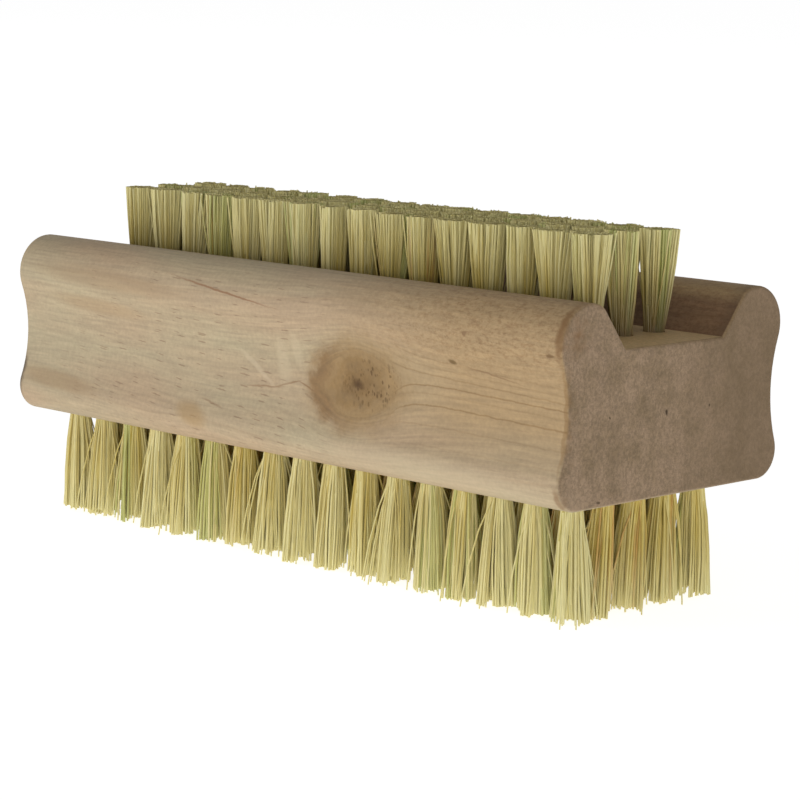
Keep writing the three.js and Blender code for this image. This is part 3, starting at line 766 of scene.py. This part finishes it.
def beech():
    """Beech, moulded along the grain and sanded, not varnished: matt, pinkish tan, with short dark ray
    flecks, thin late-wood lines that part round a knot, and sawn ends that look greyer."""
    material, add = new_material("beech_moulded_and_sanded")
    metres = add("ShaderNodeTexCoord").outputs["Object"]
    mm = add(VECTOR, {0: metres, "Scale": 1 / MM}, operation="SCALE")
    normal = add("ShaderNodeNewGeometry").outputs["Normal"]
    facing = add(VECTOR, {0: normal}, operation="ABSOLUTE")
    facing = add(SPLIT, {0: facing}).outputs

    # The grain sways a little on its way along the block, and marks have frayed edges
    slow = add(VECTOR, {0: mm, 1: SWAY_CELLS}, operation="MULTIPLY")
    sway = add(NOISE, {"Vector": slow, "Scale": 1.0, "Detail": 2.0}).outputs["Color"]
    sway = add(VECTOR, {0: sway, 1: NOISE_MEAN}, operation="SUBTRACT")
    grain = add(VECTOR, {0: sway, 1: GRAIN_SWAY, 2: mm}, operation="MULTIPLY_ADD")
    place, open_share = knot_place(add, mm)
    grain = parted_grain(add, grain, place, open_share)
    fray = add(NOISE, {"Vector": mm, "Scale": 0.8, "Detail": 3.0}).outputs["Color"]
    fray = add(VECTOR, {0: fray, 1: NOISE_MEAN}, operation="SUBTRACT")
    frayed = add(VECTOR, {0: fray, 1: MARK_FRAY, 2: mm}, operation="MULTIPLY_ADD")
    at = add(SPLIT, {0: mm}).outputs

    # Ground: pinkish and yellowish clouds drawn out along the grain, tan heartwood to the right
    cloud_at = add(VECTOR, {0: grain, 1: CLOUD_CELLS}, operation="MULTIPLY")
    cloud = add(NOISE, {"Vector": cloud_at, "Scale": 1.0, "Detail": 4.0})
    cloud = add(RANGE, {"Value": cloud, "From Min": 0.35, "From Max": 0.65})
    colour = add(MIX, {"Factor": cloud, "A": linear("#B0997C"), "B": linear("#AFA082")}, data_type="RGBA")
    heart_x = add(RANGE, {"Value": at["X"], "From Min": 8.0, "From Max": 32.0})
    heart_z = add(RANGE, {"Value": at["Z"], "From Min": 17.0, "From Max": 23.0})
    heartwood = add(MATH, {0: heart_x, 1: heart_z}, operation="MULTIPLY")

    # Specks about half a millimetre high in the heartwood's upper half
    mottle_at = add(VECTOR, {0: mm, 1: MOTTLE_CELLS}, operation="MULTIPLY")
    mottle = add(NOISE, {"Vector": mottle_at, "Scale": 1.0, "Detail": 3.0, "Roughness": 0.8})
    mottle = add(RANGE, {"Value": mottle, "From Min": 0.44, "From Max": 0.66})
    high = add(RANGE, {"Value": at["Z"], "From Min": 26.5, "From Max": 31.0, "To Max": 0.6})
    mottle = add(MATH, {0: mottle, 1: high}, operation="MULTIPLY")
    mottle = add(MATH, {0: mottle, 1: heart_x}, operation="MULTIPLY")

    frayed_at = add(SPLIT, {0: frayed}).outputs
    flecks = ray_flecks(add, grain, at, facing)
    side_marks = (
        (heartwood, "#AA906B"),
        (mottle, "#836545"),
        *knot_marks(add, mm, place, open_share),
        (late_wood(add, frayed_at, grain), "#846844"),
        (flecks, "#7A6048"),
    )
    for amount, shade in side_marks:
        colour = add(MIX, {"Factor": amount, "A": colour, "B": linear(shade)}, data_type="RGBA")

    # Moulded sides with fine fibre streaks about 0.4 mm wide, sawn ends, and the marks on both
    streak_at = add(VECTOR, {0: grain, 1: STREAK_CELLS}, operation="MULTIPLY")
    streak = add(NOISE, {"Vector": streak_at, "Scale": 1.0, "Detail": 4.0})
    streak_tone = add(
        RANGE, {"Value": streak, "From Min": 0.3, "From Max": 0.7, "To Min": 0.87, "To Max": 1.1}
    )
    speck = add(NOISE, {"Vector": mm, "Scale": 2.2, "Detail": 3.0})
    speck_tone = add(
        RANGE, {"Value": speck, "From Min": 0.3, "From Max": 0.7, "To Min": 0.93, "To Max": 1.07}
    )
    tone = add(MATH, {0: streak_tone, 1: speck_tone}, operation="MULTIPLY")
    end = add(RANGE, {"Value": facing["X"], "From Min": 0.6, "From Max": 0.95})
    end_colour, pore = end_grain(add, mm)
    colour = add(VECTOR, {0: colour, "Scale": tone}, operation="SCALE")
    colour = add(MIX, {"Factor": end, "A": colour, "B": end_colour}, data_type="RGBA")
    for centre, half_size, slope, shade, strength in WOOD_MARKS:
        turn = (0.0, -math.radians(slope), 0.0)
        on_mark = {"Vector": frayed, "Location": centre, "Rotation": turn, "Scale": half_size}
        spot = add("ShaderNodeMapping", on_mark, vector_type="TEXTURE")
        reach = add(VECTOR, {0: spot}, operation="LENGTH").outputs["Value"]
        soft = {"Value": reach, "From Min": 1.0, "From Max": 0.35, "To Max": strength}
        amount = add(RANGE, soft, interpolation_type="SMOOTHSTEP")
        colour = add(MIX, {"Factor": amount, "A": colour, "B": linear(shade)}, data_type="RGBA")

    # Inside the groove, painted shade darkens the walls, and painted light makes the floor lighter and more
    # yellow, mottled by the pores
    across = add(MATH, {0: at["Y"]}, operation="ABSOLUTE")
    between = add(
        RANGE, {"Value": across, "From Min": GROOVE_HALF_MOUTH, "From Max": GROOVE_HALF_MOUTH - 1.0}
    )
    above = add(RANGE, {"Value": at["Z"], "From Min": GROOVE_FLOOR - 0.3, "From Max": GROOVE_FLOOR - 0.05})
    cut_out = add(MATH, {0: between, 1: above}, operation="MULTIPLY")
    within = add(RANGE, {"Value": facing["X"], "From Min": 0.3, "From Max": 0.1})
    cut_out = add(MATH, {0: cut_out, 1: within}, operation="MULTIPLY")
    inside = add(RANGE, {"Value": facing["Z"], "From Min": 0.95, "From Max": 0.85})
    groove = add(MATH, {0: cut_out, 1: inside}, operation="MULTIPLY")
    # Painted shade on the groove walls
    painted_wall_shade = {"Factor": 1.0, "A": colour, "B": linear("#C5B8BA")}
    shaded_walls = add(MIX, painted_wall_shade, data_type="RGBA", blend_type="MULTIPLY")
    colour = add(MIX, {"Factor": groove, "A": colour, "B": shaded_walls}, data_type="RGBA")
    # Painted light on the groove floor: lighter and more yellow
    floor = add(RANGE, {"Value": inside, "To Min": 0.7, "To Max": 0.0})
    floor = add(MATH, {0: floor, 1: cut_out}, operation="MULTIPLY")
    rough = add(RANGE, {"Value": pore, "From Min": 0.35, "From Max": 0.65, "To Min": 0.8, "To Max": 1.2})
    painted_floor_light = add(VECTOR, {0: linear("#D4B585")[:3], "Scale": rough}, operation="SCALE")
    colour = add(MIX, {"Factor": floor, "A": colour, "B": painted_floor_light}, data_type="RGBA")

    relief = add(MATH, {0: streak, 1: flecks}, operation="SUBTRACT")
    relief = add(MIX, {"Factor": end, "A": relief, "B": pore})
    bump = add("ShaderNodeBump", {"Height": relief, "Strength": 0.3, "Distance": WOOD_RELIEF * MM})
    roughness = add(RANGE, {"Value": streak, "To Min": 0.6, "To Max": 0.8})
    look = {"Base Color": colour, "Roughness": roughness, "Normal": bump, "Specular IOR Level": 0.25}
    shader = add("ShaderNodeBsdfPrincipled", look)
    add("ShaderNodeOutputMaterial", {"Surface": shader})
    return material


def plant_fibre():
    """Stiff agave fibre, combed and cut: satin straw, each fibre its own tone and some locks green, with
    painted shade that darkens and browns it towards the roots, paler to the tips, and dull cut ends that
    are darker olive, partly their own tone and partly painted shade."""
    material, add = new_material("agave_fibre_combed_and_cut")
    tone, green, tip, shaded = (
        add("ShaderNodeAttribute", attribute_name=name).outputs["Fac"]
        for name in ("tone", "green", "tip", "shaded")
    )
    pale = add(RANGE, {"Value": tone, "From Min": 0.1, "From Max": 0.9})
    colour = add(MIX, {"Factor": pale, "A": linear("#C8B256"), "B": linear("#E8E0A4")}, data_type="RGBA")
    brown = add(RANGE, {"Value": tone, "From Min": 0.05, "From Max": 0.0, "To Max": 0.7})
    green = add(MATH, {0: green, 1: GREEN_STRENGTH}, operation="MULTIPLY")
    normal = add("ShaderNodeNewGeometry").outputs["Normal"]
    upright = add(VECTOR, {0: normal}, operation="ABSOLUTE")
    upright = add(SPLIT, {0: upright}).outputs["Z"]
    # Faces that turn up or down, cut ends most, go darker olive: partly the cut ends' own tone, partly
    # painted shade on the tops of the tufts
    cut = add(RANGE, {"Value": upright, "From Min": 0.7, "From Max": 0.9, "To Max": 0.85})
    bleached = add(RANGE, {"Value": tip, "From Min": 0.45, "To Max": 0.7})
    tints = ((brown, "#C79B52"), (bleached, "#E8E0A4"), (green, "#9DAF50"), (cut, "#A89662"))
    for amount, shade in tints:
        colour = add(MIX, {"Factor": amount, "A": colour, "B": linear(shade)}, data_type="RGBA")
    # Painted shade: the fibres darken and brown towards their roots, by each point's shade share
    painted_root_shade = {"Factor": shaded, "A": colour, "B": linear("#6E5A48")}
    colour = add(MIX, painted_root_shade, data_type="RGBA", blend_type="MULTIPLY")
    place = add("ShaderNodeTexCoord").outputs["Object"]
    vein_at = add(VECTOR, {0: place, 1: VEIN_CELLS}, operation="MULTIPLY")
    vein = add(NOISE, {"Vector": vein_at, "Scale": 1.0, "Detail": 2.0})
    vein = add(RANGE, {"Value": vein, "From Min": 0.3, "From Max": 0.7, "To Min": 0.9, "To Max": 1.06})
    colour = add(VECTOR, {0: colour, "Scale": vein}, operation="SCALE")
    roughness = add(RANGE, {"Value": tone, "To Min": 0.35, "To Max": 0.5})
    gloss = add(RANGE, {"Value": upright, "From Min": 0.4, "From Max": 0.8, "To Min": 0.5, "To Max": 0.0})
    look = {"Base Color": colour, "Roughness": roughness, "Specular IOR Level": gloss}
    shader = add("ShaderNodeBsdfPrincipled", look)
    add("ShaderNodeOutputMaterial", {"Surface": shader})
    return material


def anchor_wire():
    """Steel wire, drawn and rolled flat: bright grey with fine draw marks along each anchor."""
    material, add = new_material("steel_wire_drawn_flat")
    place = add("ShaderNodeTexCoord").outputs["Object"]
    mark_at = add(VECTOR, {0: place, 1: DRAW_MARK_CELLS}, operation="MULTIPLY")
    mark = add(NOISE, {"Vector": mark_at, "Scale": 1.0, "Detail": 2.0})
    colour = add(MIX, {"Factor": mark, "A": linear("#9A9C9C"), "B": linear("#B9BBBB")}, data_type="RGBA")
    roughness = add(RANGE, {"Value": mark, "To Min": 0.25, "To Max": 0.5})
    bump = add("ShaderNodeBump", {"Height": mark, "Strength": 0.2, "Distance": WIRE_RELIEF * MM})
    look = {"Base Color": colour, "Roughness": roughness, "Normal": bump, "Metallic": 1.0}
    shader = add("ShaderNodeBsdfPrincipled", look)
    add("ShaderNodeOutputMaterial", {"Surface": shader})
    return material


# Studio


def seen_directly(add):
    """1 where a ray comes from the camera, a mirror or glass, and 0 where it carries light."""
    path = add("ShaderNodeLightPath").outputs
    seen = add(MATH, {0: path["Is Camera Ray"], 1: path["Is Glossy Ray"]}, operation="MAXIMUM")
    return add(MATH, {0: seen, 1: path["Is Transmission Ray"]}, operation="MAXIMUM")


def pale_floor():
    """A white sheet lit from below, bright enough to be white in the picture, which keeps the brush's
    soft shadow and lights the lower tufts."""
    material, add = new_material("white_acrylic_lit_from_below")
    sheet = add("ShaderNodeBsdfDiffuse", {"Color": linear("#E1E1E1")})
    strength = add(RANGE, {"Value": seen_directly(add), "To Min": 0.88, "To Max": 0.83})
    glow = add("ShaderNodeEmission", {"Strength": strength})
    surface = add("ShaderNodeAddShader", {0: sheet, 1: glow})
    below = add("ShaderNodeNewGeometry").outputs["Backfacing"]
    clear = add("ShaderNodeBsdfTransparent")
    surface = add("ShaderNodeMixShader", {0: below, 1: surface, 2: clear})
    add("ShaderNodeOutputMaterial", {"Surface": surface})
    half = 20.0  # metres
    mesh = bpy.data.meshes.new("floor")
    corners = [(-half, -half, 0), (half, -half, 0), (half, half, 0), (-half, half, 0)]
    mesh.from_pydata(corners, [], [(0, 1, 2, 3)])
    mesh.materials.append(material)
    floor = bpy.data.objects.new("floor", mesh)
    bpy.context.scene.collection.objects.link(floor)


def studio_light():
    """White surroundings, dimmer overhead, a soft lamp low at the front left, and a weaker one beside the
    camera that opens the shade between the tufts."""
    world = bpy.data.worlds.new("white_studio")
    bpy.context.scene.world = world
    world.use_nodes = True
    world.node_tree.nodes.clear()
    add = partial(add_node, world.node_tree)
    towards = add("ShaderNodeTexCoord").outputs["Generated"]
    overhead = add(SPLIT, {0: towards}).outputs["Z"]
    fill = add(RANGE, {"Value": overhead, "From Max": 0.7, "To Min": 0.3, "To Max": 0.2})
    strength = add(RANGE, {"Value": seen_directly(add), "To Min": fill, "To Max": 1.0})
    white = add("ShaderNodeBackground", {"Color": linear("#FFFFFF"), "Strength": strength})
    add("ShaderNodeOutputWorld", {"Surface": white})

    # Where a lamp stands, its width and height in metres, and how bright a white card is before it
    lamps = (
        ("left_lamp", (-0.72, -0.68, 0.12), 2.8, 0.6, 0.39),
        ("camera_lamp", (0.72, -0.68, 0.1), 1.2, 0.5, 0.23),
    )
    distance = 3.0  # metres
    for name, side, width, height, strength in lamps:
        lamp = bpy.data.lights.new(name, "AREA")
        lamp.shape = "RECTANGLE"
        lamp.size = width
        lamp.size_y = height
        lamp.energy = math.pi**2 * distance**2 * strength
        towards = Vector(side).normalized()
        stand = bpy.data.objects.new(name, lamp)
        stand.location = towards * distance
        stand.rotation_euler = (-towards).to_track_quat("-Z", "Y").to_euler()
        bpy.context.scene.collection.objects.link(stand)


def photo_camera():
    """The photograph's viewpoint: a long lens, a little above the brush and to the right of its front."""
    azimuth, elevation, roll = (math.radians(v) for v in (44.375, 8.710, 1.237))
    distance, shift_right, shift_up = 344.163, 3.011, 5.091
    out = math.cos(elevation)
    back = Vector((math.sin(azimuth) * out, -math.cos(azimuth) * out, math.sin(elevation)))
    level = (-back).cross(Vector((0, 0, 1))).normalized()
    upright = level.cross(-back)
    right = level * math.cos(roll) + upright * math.sin(roll)
    up = upright * math.cos(roll) - level * math.sin(roll)
    centre = back * distance + right * shift_right + up * shift_up + Vector((0, 0, LOWER_FACE))

    lens = bpy.data.cameras.new("photo_camera")
    lens.lens = 123.13
    lens.sensor_width = 36.0
    lens.clip_start = 0.01
    camera = bpy.data.objects.new("photo_camera", lens)
    frame_matrix = Matrix((right, up, back)).transposed().to_4x4()
    frame_matrix.translation = centre * MM
    camera.matrix_world = frame_matrix
    bpy.context.scene.collection.objects.link(camera)
    bpy.context.scene.camera = camera


bpy.context.scene.view_settings.view_transform = "Standard"
photo_camera()
studio_light()
pale_floor()

block = block_piece(beech())
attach(block, "root")
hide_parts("block")

for tufts, node in tuft_pieces(plant_fibre()):
    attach(tufts, "root")
    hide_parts(node)

wire = anchor_wire()
for name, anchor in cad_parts.items():
    if name.startswith("upper_anchor"):
        anchor.data.materials.clear()
        anchor.data.materials.append(wire)
